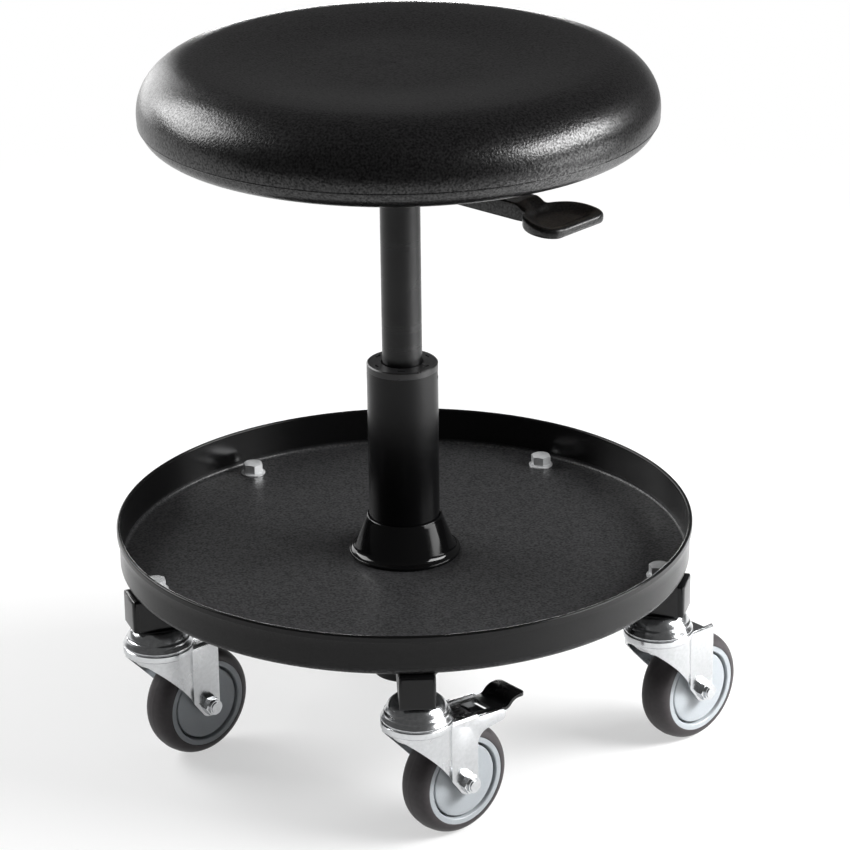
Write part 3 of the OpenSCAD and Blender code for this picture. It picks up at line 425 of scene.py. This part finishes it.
def weld_bead(turn):
    """The bead's path lies where the arm's sides and foot cut the hub's cylinder. Round each of
    its points stands a circle square to the path, whose radius swells once per scale_pitch."""
    side = math.asin(arm_half / hub_r)
    down = np.linspace(arm_high - tube_round, arm_low + tube_round, 24)
    across = np.linspace(-side, side, 26)[2:-2]
    corner = np.linspace(0, math.pi / 2, 7)[1:-1]
    lean = tube_round / hub_r * (1 - np.cos(corner))
    drop = arm_low + tube_round * (1 - np.sin(corner))
    angle = np.concatenate([np.full(len(down), -side), lean - side, across, side - lean[::-1],
                            np.full(len(down), side)])
    z = np.concatenate([down, drop, np.full(len(across), arm_low), drop[::-1], down[::-1]])
    out = math.radians(turn) + angle
    path = np.stack([hub_r * np.cos(out), hub_r * np.sin(out), z], axis=-1)
    along = np.gradient(path, axis=0)
    step = np.linalg.norm(along, axis=1, keepdims=True)
    along /= step
    radial = np.stack([np.cos(out), np.sin(out), np.zeros_like(out)], axis=-1)
    other = np.cross(along, radial)
    run = np.cumsum(step[:, 0])
    swell = bead_r * (1 - scale_share + scale_share * np.abs(np.sin(math.pi * run / scale_pitch)))
    swell[[0, -1]] *= end_share
    around = np.linspace(0, 2 * math.pi, 14, endpoint=False)[None, :, None]
    return path[:, None] + swell[:, None, None] * (np.cos(around) * radial[:, None]
                                                   + np.sin(around) * other[:, None])


for arm, turn in zip(arms, arm_turns):
    grown("weld_" + arm, weld_bead(turn), powder, "base")

# Arm caps: square heads of black polyethylene with rounded edges, moulded in one piece with a
# plug that is pushed into the tube's end. Their flat faces are smooth and glossy.
cap_plastic = coating("cap_plastic", (0.004, 0.004, 0.0045), 0.14, gloss=0.26, grain=0.004,
                      grain_size=3.0, wear=0.03)
finish("arm_caps", cap_plastic, angle=40)

# Tray: one deep-drawn sheet with a round corner. The wall's edge is folded outwards and down, with
# a fine gap behind the fold. The black powder coat is raised and grainy on the floor and runs
# smoother and glossier up the wall, where its colour is also painted darker, a painted shade.
sheet = 1.2
floor_top, rim_top = 134.2, 162.0
hem_out, hem_foot = 203.8, 157.0
hem_power = 0.8
wall_out = 202.12
corner_out = 4.0
hole_r = 25.4
cut_ease = 0.15
gap_depth, gap_crown = 2.6, 0.4
# rows of points on the flats: beside each arc, across the floor, and halfway up the wall
beside = 0.5
floor_rows = (60, 120)
wall_row = 150


def tray_outline():
    """From the hole out under the floor, round the corner and up to the fold; up behind the fold's
    gap and down again; round the fold's edge, over its top (a superellipse, a little flatter than
    a circle), and back down the inside to the hole."""
    wall_in = wall_out - sheet
    floor_low = floor_top - sheet
    corner_x, corner_z = wall_out - corner_out, floor_low + corner_out
    hem_mid = (wall_in + hem_out) / 2
    hem_r = (hem_out - wall_in) / 2
    hem_z = rim_top - hem_r
    lip = sheet / 2
    gap_top = hem_foot + gap_depth
    crown = np.linspace(0, math.pi, 31)
    across, rise = np.cos(crown), np.sin(crown)
    return np.vstack([
        [[hole_r, floor_low + cut_ease], [hole_r + cut_ease, floor_low],
         [floor_rows[0], floor_low], [corner_x - beside, floor_low]],
        bend(corner_x, corner_z, corner_out, -90, 0, 11),
        [[wall_out, corner_z + beside], [wall_out, wall_row], [wall_out, gap_top],
         [(wall_out + hem_out - sheet) / 2, gap_top + gap_crown], [hem_out - sheet, gap_top]],
        bend(hem_out - lip, hem_foot + lip, lip, 180, 360, 9),
        [[hem_out, hem_foot + lip + beside], [hem_out, hem_z - beside]],
        np.stack([hem_mid + hem_r * np.sign(across) * np.abs(across) ** hem_power,
                  hem_z + hem_r * rise ** hem_power], axis=-1),
        [[wall_in, hem_z - beside], [wall_in, wall_row], [wall_in, corner_z + beside]],
        bend(corner_x, corner_z, corner_out - sheet, 0, -90, 13),
        [[corner_x - beside, floor_top], [floor_rows[1], floor_top], [floor_rows[0], floor_top],
         [hole_r + cut_ease, floor_top], [hole_r, floor_top - cut_ease]]])


# above 138.5 mm the coat's colour is painted down to 0.15 of the floor's, a painted shade on the
# wall
tray_powder = coating("tray_powder", (0.029, 0.029, 0.030), 0.34, gloss=0.22, grain=0.16,
                      grain_size=1.5, fleck=0.4, dots=0.55, wall_calm_and_shade=(135.0, 138.5, 0.15, 0.6))
tray = banded("tray_skin", [turned(tray_outline(), 360)], tray_powder, "base")
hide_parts("tray")

# Collar: a glossy moulded cone over the hole where the column goes through the tray. It spreads
# at the foot to a thin round lip, which stands on the tray.
neck_r, foot_r = 26.8, 39.4
collar_top, brim_top = 162.5, 136.5
collar_wall = 1.5
cone_end = [34.5, 141.1]
brim_pulls = [[35.5, 138.4], [36.4, 137.0]]
neck_round, lip_round, lip_ease = 0.9, 0.45, 0.15


def collar_outline():
    """The outside is a rounded edge at the neck, a straight cone, then one cubic curve that leaves
    the cone and ends in the shallow brim, then a small round down the lip. The inside follows at
    the wall's thickness."""
    t = np.linspace(0, 1, 22)[:, None]
    p = np.array([cone_end, *brim_pulls, [foot_r - lip_round - 0.05, brim_top]])
    brim = (p[0] * (1 - t) ** 3 + 3 * p[1] * t * (1 - t) ** 2 + 3 * p[2] * t ** 2 * (1 - t)
            + p[3] * t ** 3)
    start = np.array([neck_r, collar_top - neck_round - 0.05])
    cone = start + (p[0] - start) * np.linspace(0.02, 0.98, 12)[:, None]
    outside = np.vstack([bend(neck_r - neck_round, collar_top - neck_round, neck_round, 90, 12, 9),
                         cone, brim,
                         bend(foot_r - lip_round, brim_top - lip_round, lip_round, 60, 0, 5),
                         [[foot_r, floor_top + 0.2], [foot_r - lip_ease, floor_top]]])
    inside = (outside - [collar_wall, 0])[::-1]
    return np.vstack([outside, [[foot_r - collar_wall, floor_top]], inside[3:-6]])


collar_gloss = coating("collar_gloss", (0.003, 0.003, 0.0032), 0.1, gloss=0.28, wear=0.03)
collar = banded("collar_skin", [turned(collar_outline(), 240)], collar_gloss,
                "base")
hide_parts("collar")

# Column: the standing tube is drawn steel in black enamel, tapered below and wedged in the hub.
# The guide bush is moulded in black nylon, pressed into its top and caught in its windows.
enamel = coating("black_enamel", (0.003, 0.003, 0.0033), 0.24, gloss=0.2, grain=0.01,
                 grain_size=2.0, wear=0.02)
finish("column_tube", enamel)
nylon = coating("bush_nylon", (0.012, 0.012, 0.0125), 0.3, gloss=0.4, grain=0.01, grain_size=0.4)
finish("guide_bush", nylon)

# Gas lift: the black cylinder that rises with the seat, and the bright rod, piston, clip and
# bearing inside the standing tube. The bush has drawn faint rings round the cylinder.
lift_black = coating("lift_black", (0.003, 0.003, 0.0033), 0.3, gloss=0.3, grain=0.01,
                     grain_size=2.0, wear=0.06, rings=3)
finish("gas_cylinder", lift_black)
ground_steel = coating("ground_steel", (0.62, 0.63, 0.64), 0.22, metal=1.0, wear=0.05)
for part in ["piston_rod", "rod_retainer", "thrust_bearing", "release_pin"]:
    finish(part, ground_steel)
finish("piston", nylon)

# Seat fixings: a taper socket, a pressed channel and a beaded plate, all black coated, under
# a plywood pan that is moulded into the cushion's foot. Four zinc plated bolts hold the plate.
pressed_black = coating("pressed_black", (0.014, 0.014, 0.0145), 0.42, gloss=0.4, grain=0.02,
                        grain_size=0.8, fleck=0.15)
finish("taper_socket", pressed_black)
finish("lever_bracket", pressed_black, ease=0.2)
finish("mount_plate", pressed_black, ease=0.2)
bright_zinc = coating("bright_zinc", (0.60, 0.61, 0.62), 0.2, grain=0.01, grain_size=2.4,
                      metal=1.0, fleck=0.05, wear=0.06)
finish("seat_bolts", bright_zinc)
plywood = coating("plywood", (0.09, 0.064, 0.042), 0.7, grain=0.05, grain_size=2.0, fleck=0.2,
                  rings=30)
finish("seat_pan", plywood)

# Release lever: a cranked bar of coated steel on a pin. The handle is moulded over it in one piece:
# a straight box-shaped stem that opens into a spoon with a rounded rim and a dished floor.
handle_plastic = coating("handle_plastic", (0.006, 0.006, 0.0062), 0.34, gloss=0.38, grain=0.06,
                         grain_size=1.5, dots=0.4, wear=0.04)
finish("lever_pin", bright_zinc)
finish("lever_arm", pressed_black, ease=0.2)
lever_turn = -44.7
stem_start, neck_start, neck_stop, reach = 58.0, 113, 134, 162.0
stem_half, paddle_half = 11.5, 29.5
hollow_r = 4.0
flare_r, flare_x = 27.0, 147.9
end_corner = 12.5
handle_foot, stem_top = 408.0, 420.1
# the rim's height where the spoon begins and at its end, and how it goes there
rim_near, rim_far = 416.9, 414.4
spoon_run, fall_start, fall_run = 11, 130, 34
stem_round, rim_round, end_round = 1.2, 2.7, 2.7
rim_width = 1.4
# the bowl: its depth, how much more of the rim's slope it takes, and how fast it deepens from the
# sides, from the far end and from the neck, where its edge is bowed
bowl_depth, bowl_tilt = 4.0, 0.3
side_run, far_gap, far_run = 13, 2.4, 11
bowl_start, bowl_bow, bowl_run = 112, 0.012, 14


def ease(t):
    """0 below 0, 1 above 1, and a smooth S between them."""
    t = np.clip(t, 0, 1)
    return t * t * (3 - 2 * t)


def half_width(x):
    """The plan's half-width: level along the stem, a small hollow at the neck, then a circle out
    to the spoon and a rounded corner at its end."""
    flare_y = paddle_half - flare_r
    neck_y = stem_half + hollow_r
    neck_x = flare_x - math.sqrt((flare_r + hollow_r) ** 2 - (neck_y - flare_y) ** 2)
    meet = neck_x + (flare_x - neck_x) * hollow_r / (flare_r + hollow_r)
    hollow = neck_y - np.sqrt(np.clip(hollow_r ** 2 - (x - neck_x) ** 2, 0, None))
    flare = flare_y + np.sqrt(np.clip(flare_r ** 2 - (x - flare_x) ** 2, 0, None))
    past = np.clip(x - (reach - end_corner), 0, end_corner)
    corner = paddle_half - end_corner + np.sqrt(np.clip(end_corner ** 2 - past ** 2, 0, None))
    half = np.where(x < meet, hollow, np.minimum(flare, paddle_half))
    half = np.where(x < neck_x, stem_half, half)
    return np.where(x > reach - end_corner, corner, half)


def lever_handle():
    """Closed rings across the lever, each a rounded rectangle. The top sinks from the stem to the
    rim, and inside the rim to the bowl, by an amount that depends on the distance from the
    outline. The last rings close in a quarter turn."""
    x = np.concatenate([np.linspace(stem_start, neck_start - 1, 10),
                        np.linspace(neck_start, neck_stop, 34)[:-1],
                        np.linspace(neck_stop, reach - end_round, 34)])
    turn = np.linspace(0, math.pi / 2, 9)[1:]
    inset = np.concatenate([np.zeros(len(x)), end_round * (1 - np.cos(turn))])
    x = np.concatenate([x, reach - end_round + end_round * np.sin(turn)])
    spoon = ease((x - neck_start) / spoon_run)
    rim = (stem_top + (rim_near - stem_top) * spoon
           + (rim_far - rim_near) * ease((x - fall_start) / fall_run))
    half = (half_width(x) - inset)[:, None]
    low = (handle_foot + inset)[:, None]
    high = (rim - inset)[:, None]
    edge = (stem_round + (rim_round - stem_round) * spoon)[:, None]
    edge = np.minimum(edge, (high - low) * 0.46)
    # the ring goes across the top, round a corner, down the side, and back across the foot
    crown = np.linspace(-1, 1, 41)
    a = np.linspace(0, 1, 7)[1:-1][None] * math.pi / 2
    flat = np.zeros((len(x), 2))
    y = np.hstack([(half - edge) * crown, half - edge + edge * np.sin(a), half + flat,
                   half - edge + edge * np.cos(a), (edge - half) * crown[::4],
                   edge - half - edge * np.sin(a), flat - half,
                   edge - half - edge * np.cos(a)])
    z = np.hstack([high + 0 * crown, high - edge + edge * np.cos(a), high - edge, low + edge,
                   low + edge - edge * np.sin(a), low + 0 * crown[::4],
                   low + edge - edge * np.cos(a), low + edge, high - edge,
                   high - edge + edge * np.sin(a)])
    # the bowl, as deep as the distance in from the outline allows
    x = x[:, None]
    inside = ease((half - rim_width - np.abs(y)) / side_run)
    inside = inside * ease((reach - far_gap - x) / far_run)
    inside = inside * ease((x - bowl_start - bowl_bow * y ** 2) / bowl_run)
    inside[:, len(crown):] = 0
    z = z - (bowl_depth + (high - rim_far) * bowl_tilt) * inside
    a = math.radians(lever_turn)
    return np.stack([x * math.cos(a) - y * math.sin(a), x * math.sin(a) + y * math.cos(a), z],
                    axis=-1)


handle = grown("handle", lever_handle(), handle_plastic, "lever")
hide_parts("lever_handle")

# Cushion: foam moulded in one piece with its own tough skin. The mould's halves meet low on the
# side, in a fine line; the skin has a pebbled leather grain. The pan sits in a pocket below.
seat_r = 177.5
seat_foot, waist, seat_top = 443.3, 462.1, 498.0
foot_in, low_power = 20, 2.3
crown_in, top_power = 43, 2.1
dish_depth, dish_flat = 5, 55
pole_r = 2
pocket_r, pocket_top = 150.5, 457.0
parting = 456.3
part_step, part_run = 0.6, 0.5
ridge_h, ridge_up, ridge_half = 0.3, 0.15, 0.45
# the slow waves: how high the two on the side are, how far all of them stay in, and from where
waves, waves_in, waves_from = (0.10, 0.06), 0.16, 156
top_wave, top_wave_from = 0.12, 480


def seat_form():
    """Rings round the column. The outline runs from the pocket for the pan out over the foot and up
    a superellipse to the crest, then down a cosine into the shallow dish. Below the parting line it
    steps in by 0.6 mm, and on the line stands a low ridge. Slow waves of a tenth of a millimetre
    round the seat keep it from looking turned."""
    a = np.linspace(math.pi / 2, 0, 700)
    low_r = seat_r - foot_in + foot_in * np.cos(a) ** (2 / low_power)
    low_z = waist - (waist - seat_foot) * np.sin(a) ** (2 / low_power)
    a = np.linspace(0, math.pi / 2, 900)[1:]
    crest = seat_r - crown_in
    up_r = crest + crown_in * np.cos(a) ** (2 / top_power)
    up_z = waist + (seat_top - waist) * np.sin(a) ** (2 / top_power)
    s = np.linspace(0, 1, 500)[1:]
    dish_r = crest + s * (dish_flat - crest)
    dish_z = seat_top - dish_depth * (1 - np.cos(math.pi * s)) / 2
    flat_r = np.linspace(dish_flat, pole_r, 60)[1:]
    flat_z = np.full(len(flat_r), seat_top - dish_depth)
    r = np.concatenate([low_r, up_r, dish_r, flat_r])
    z = np.concatenate([low_z, up_z, dish_z, flat_z])
    side = np.arange(len(r)) < len(low_r)
    r = r - part_step * ease((parting - z) / part_run) * side
    r = r + ridge_h * np.exp(-((z - parting - ridge_up) / ridge_half) ** 2) * side
    # rows are close together at the parting line and even elsewhere
    run = np.concatenate([[0], np.cumsum(np.hypot(np.diff(r), np.diff(z)))])
    line = np.interp(parting, z[:len(low_r)], run[:len(low_r)])
    want = np.concatenate([np.linspace(0, line - 1.5, 16), np.linspace(line - 1.4, line + 1.4, 22),
                           np.linspace(line + 1.6, run[-1], 128)])
    r, z = np.interp(want, run, r), np.interp(want, run, z)
    r = np.concatenate([[pole_r, pocket_r - 4, pocket_r, pocket_r], r])[:, None]
    z = np.concatenate([[pocket_top, pocket_top, pocket_top, seat_foot + 0.3], z])[:, None]
    t = np.linspace(0, 2 * math.pi, 300, endpoint=False)[None]
    slack = waves[0] * np.sin(3 * t + 0.7) + waves[1] * np.sin(7 * t + 2.1 + r / 40)
    r = r + (slack - waves_in) * ease((r - waves_from) / 12)
    z = z - top_wave * (1 + np.sin(2 * t + r / 50)) * ease((z - top_wave_from) / 10)
    return np.stack([r * np.cos(t), r * np.sin(t), z], axis=-1)


seat_skin = coating("seat_skin", (0.0045, 0.0042, 0.0045), 0.29, gloss=0.5, grain=0.16,
                    grain_size=1.5, fleck=0.4, dots=0.55, wear=0.02)
cushion = grown("cushion_skin", seat_form(), seat_skin, "seat")
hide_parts("cushion")

# Castors: pressed steel forks and races under bright zinc, riveted round their balls, with a bolt,
# a spacer and a locknut for each wheel. A flanged bolt holds each one under its arm.
bolt_zinc = coating("bolt_zinc", (0.78, 0.79, 0.80), 0.24, grain=0.01, grain_size=2.4, metal=0.5,
                    fleck=0.05)
for part in ["castor_bolts", "castor_sleeves", "castor_nuts"]:
    finish(part, bolt_zinc)
king_r = 184.5
race_foot, race_top = 94.5, 108.0
race_edge = 24.5
# the outside as shares of the edge's radius and of the height, and the inside in mm
race_shares = [
    [0.30, 1], [0.55, 1], [0.61, 0.99], [0.66, 0.965], [0.7, 0.93], [0.75, 0.85], [0.79, 0.76],
    [0.82, 0.66], [0.85, 0.54], [0.865, 0.46], [0.885, 0.41], [0.905, 0.39], [0.917, 0.35],
    [0.925, 0.29], [0.94, 0.235], [0.962, 0.16], [0.985, 0.085], [0.997, 0.045], [1, 0.02],
    [0.995, 0]]
race_inside = [[22.4, race_foot], [21.8, 96.2], [21.0, 97.9], [15.6, 98.2], [10.5, 105.5],
               [race_edge * race_shares[0][0], 105.5]]


def race_outline():
    """The pressed dome over the balls. The outside is a smooth curve through the measured points of
    the pressing, which steps once halfway and bulges into a skirt. The inside is plainer: a skirt,
    the groove over the balls, and a cone up to the boss."""
    outside = [0, race_foot] + np.array(race_shares) * [race_edge, race_top - race_foot]
    run = np.concatenate([[0], np.cumsum(np.hypot(*np.diff(outside, axis=0).T))])
    want = np.linspace(0, run[-1], 60)
    fine = np.stack([np.interp(want, run, outside[:, s]) for s in range(2)], axis=-1)
    fine[1:-1] = (fine[:-2] + 2 * fine[1:-1] + fine[2:]) / 4
    return np.vstack([fine, race_inside])


kings = [(king_r * math.cos(math.radians(turn)), king_r * math.sin(math.radians(turn)))
         for turn in arm_turns]
race_zinc = coating("race_zinc", (0.54, 0.55, 0.56), 0.2, grain=0.01, grain_size=2.4, metal=1.0,
                    fleck=0.08, wear=0.05)
races = banded("race_skins", [turned(race_outline(), 120, king) for king in kings], race_zinc,
               "base")
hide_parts("castor_races")
finish("castor_balls", ground_steel)
zinc = coating("zinc_plate", (0.57, 0.58, 0.59), 0.24, grain=0.012, grain_size=2.4, metal=1.0,
               fleck=0.04, wear=0.06)
for arm in arms:
    finish("fork_" + arm, zinc, ease=0.15)
    finish("axle_" + arm, bright_zinc)

# Wheels: grey moulded cores and thread guards. The tyres are soft grey-brown rubber moulded round
# the cores, with the mould's line round the middle and a fine step where rubber meets core.
wheel_grey = coating("wheel_grey", (0.385, 0.412, 0.435), 0.4, grain=0.015, grain_size=0.9,
                     fleck=0.03)
tyre_rubber = coating("tyre_rubber", (0.040, 0.035, 0.037), 0.5, gloss=0.32, grain=0.03,
                      grain_size=3.0, fleck=0.08)
trail, axle_z = 31.6, 40.0
bow_r, bow_h, bow_power = 31, 9, 2.4
tyre_drop, mould_ridge, ridge_w = 0.25, 0.20, 0.35
tyre_half, tyre_inner, foot_half = 12.5, 31.44, 10
core_step = 0.12
castor_turns = [37.1, 39.6, 39.5, 39.5, 39.3]


def tyre(king, castor_turn):
    """A closed band round the axle, which trails the king pin. Its outline is a full bow,
    r = 31 + 9 |cos a|^(2/2.4) against 12.5 sin a |sin a|^(2/2.4 - 1), less 0.25 mm, with a ridge
    of 0.2 mm round the middle, closed along the core."""
    a = np.linspace(-math.pi / 2, math.pi / 2, 61)
    r = bow_r + bow_h * np.abs(np.cos(a)) ** (2 / bow_power)
    w = tyre_half * np.sign(a) * np.abs(np.sin(a)) ** (2 / bow_power)
    r = r - tyre_drop + mould_ridge * np.exp(-(w / ridge_w) ** 2)
    keep = r > tyre_inner + 0.15
    r = np.concatenate([[tyre_inner], r[keep], [tyre_inner], np.full(5, tyre_inner)])
    w = np.concatenate([[core_step - tyre_half], w[keep], [tyre_half - core_step],
                        np.linspace(foot_half, -foot_half, 5)])
    way = math.radians(castor_turn)
    out = np.array([math.cos(way), math.sin(way), 0])
    axis = np.array([-math.sin(way), math.cos(way), 0])
    middle = np.array([*king, axle_z]) + trail * out
    turn = np.linspace(0, 2 * math.pi, 144, endpoint=False)[:, None, None]
    r, w = r[None, :, None], w[None, :, None]
    return middle + r * (np.cos(turn) * out + np.sin(turn) * np.array([0, 0, 1])) + w * axis


for arm, king, castor_turn in zip(arms, kings, castor_turns):
    finish("guards_" + arm, wheel_grey, ease=0.15)
    finish("core_" + arm, wheel_grey)
    rubber = banded("tyre_skin_" + arm, [tyre(king, castor_turn)], tyre_rubber,
                    "wheel_" + arm)
    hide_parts("tyre_" + arm)

# Brake: a moulded black pedal on a steel pin between the front fork's sides. Under it a steel shoe
# comes down on the tyre, and a leaf spring hooked over the pin lifts the pedal, both bright zinc.
pedal_plastic = coating("pedal_plastic", (0.005, 0.005, 0.0053), 0.3, gloss=0.35, grain=0.02,
                        grain_size=0.7)
finish("brake_pedal", pedal_plastic, ease=0.35, angle=40)
for part in ["brake_shoe", "brake_pin", "brake_spring"]:
    finish(part, bright_zinc)
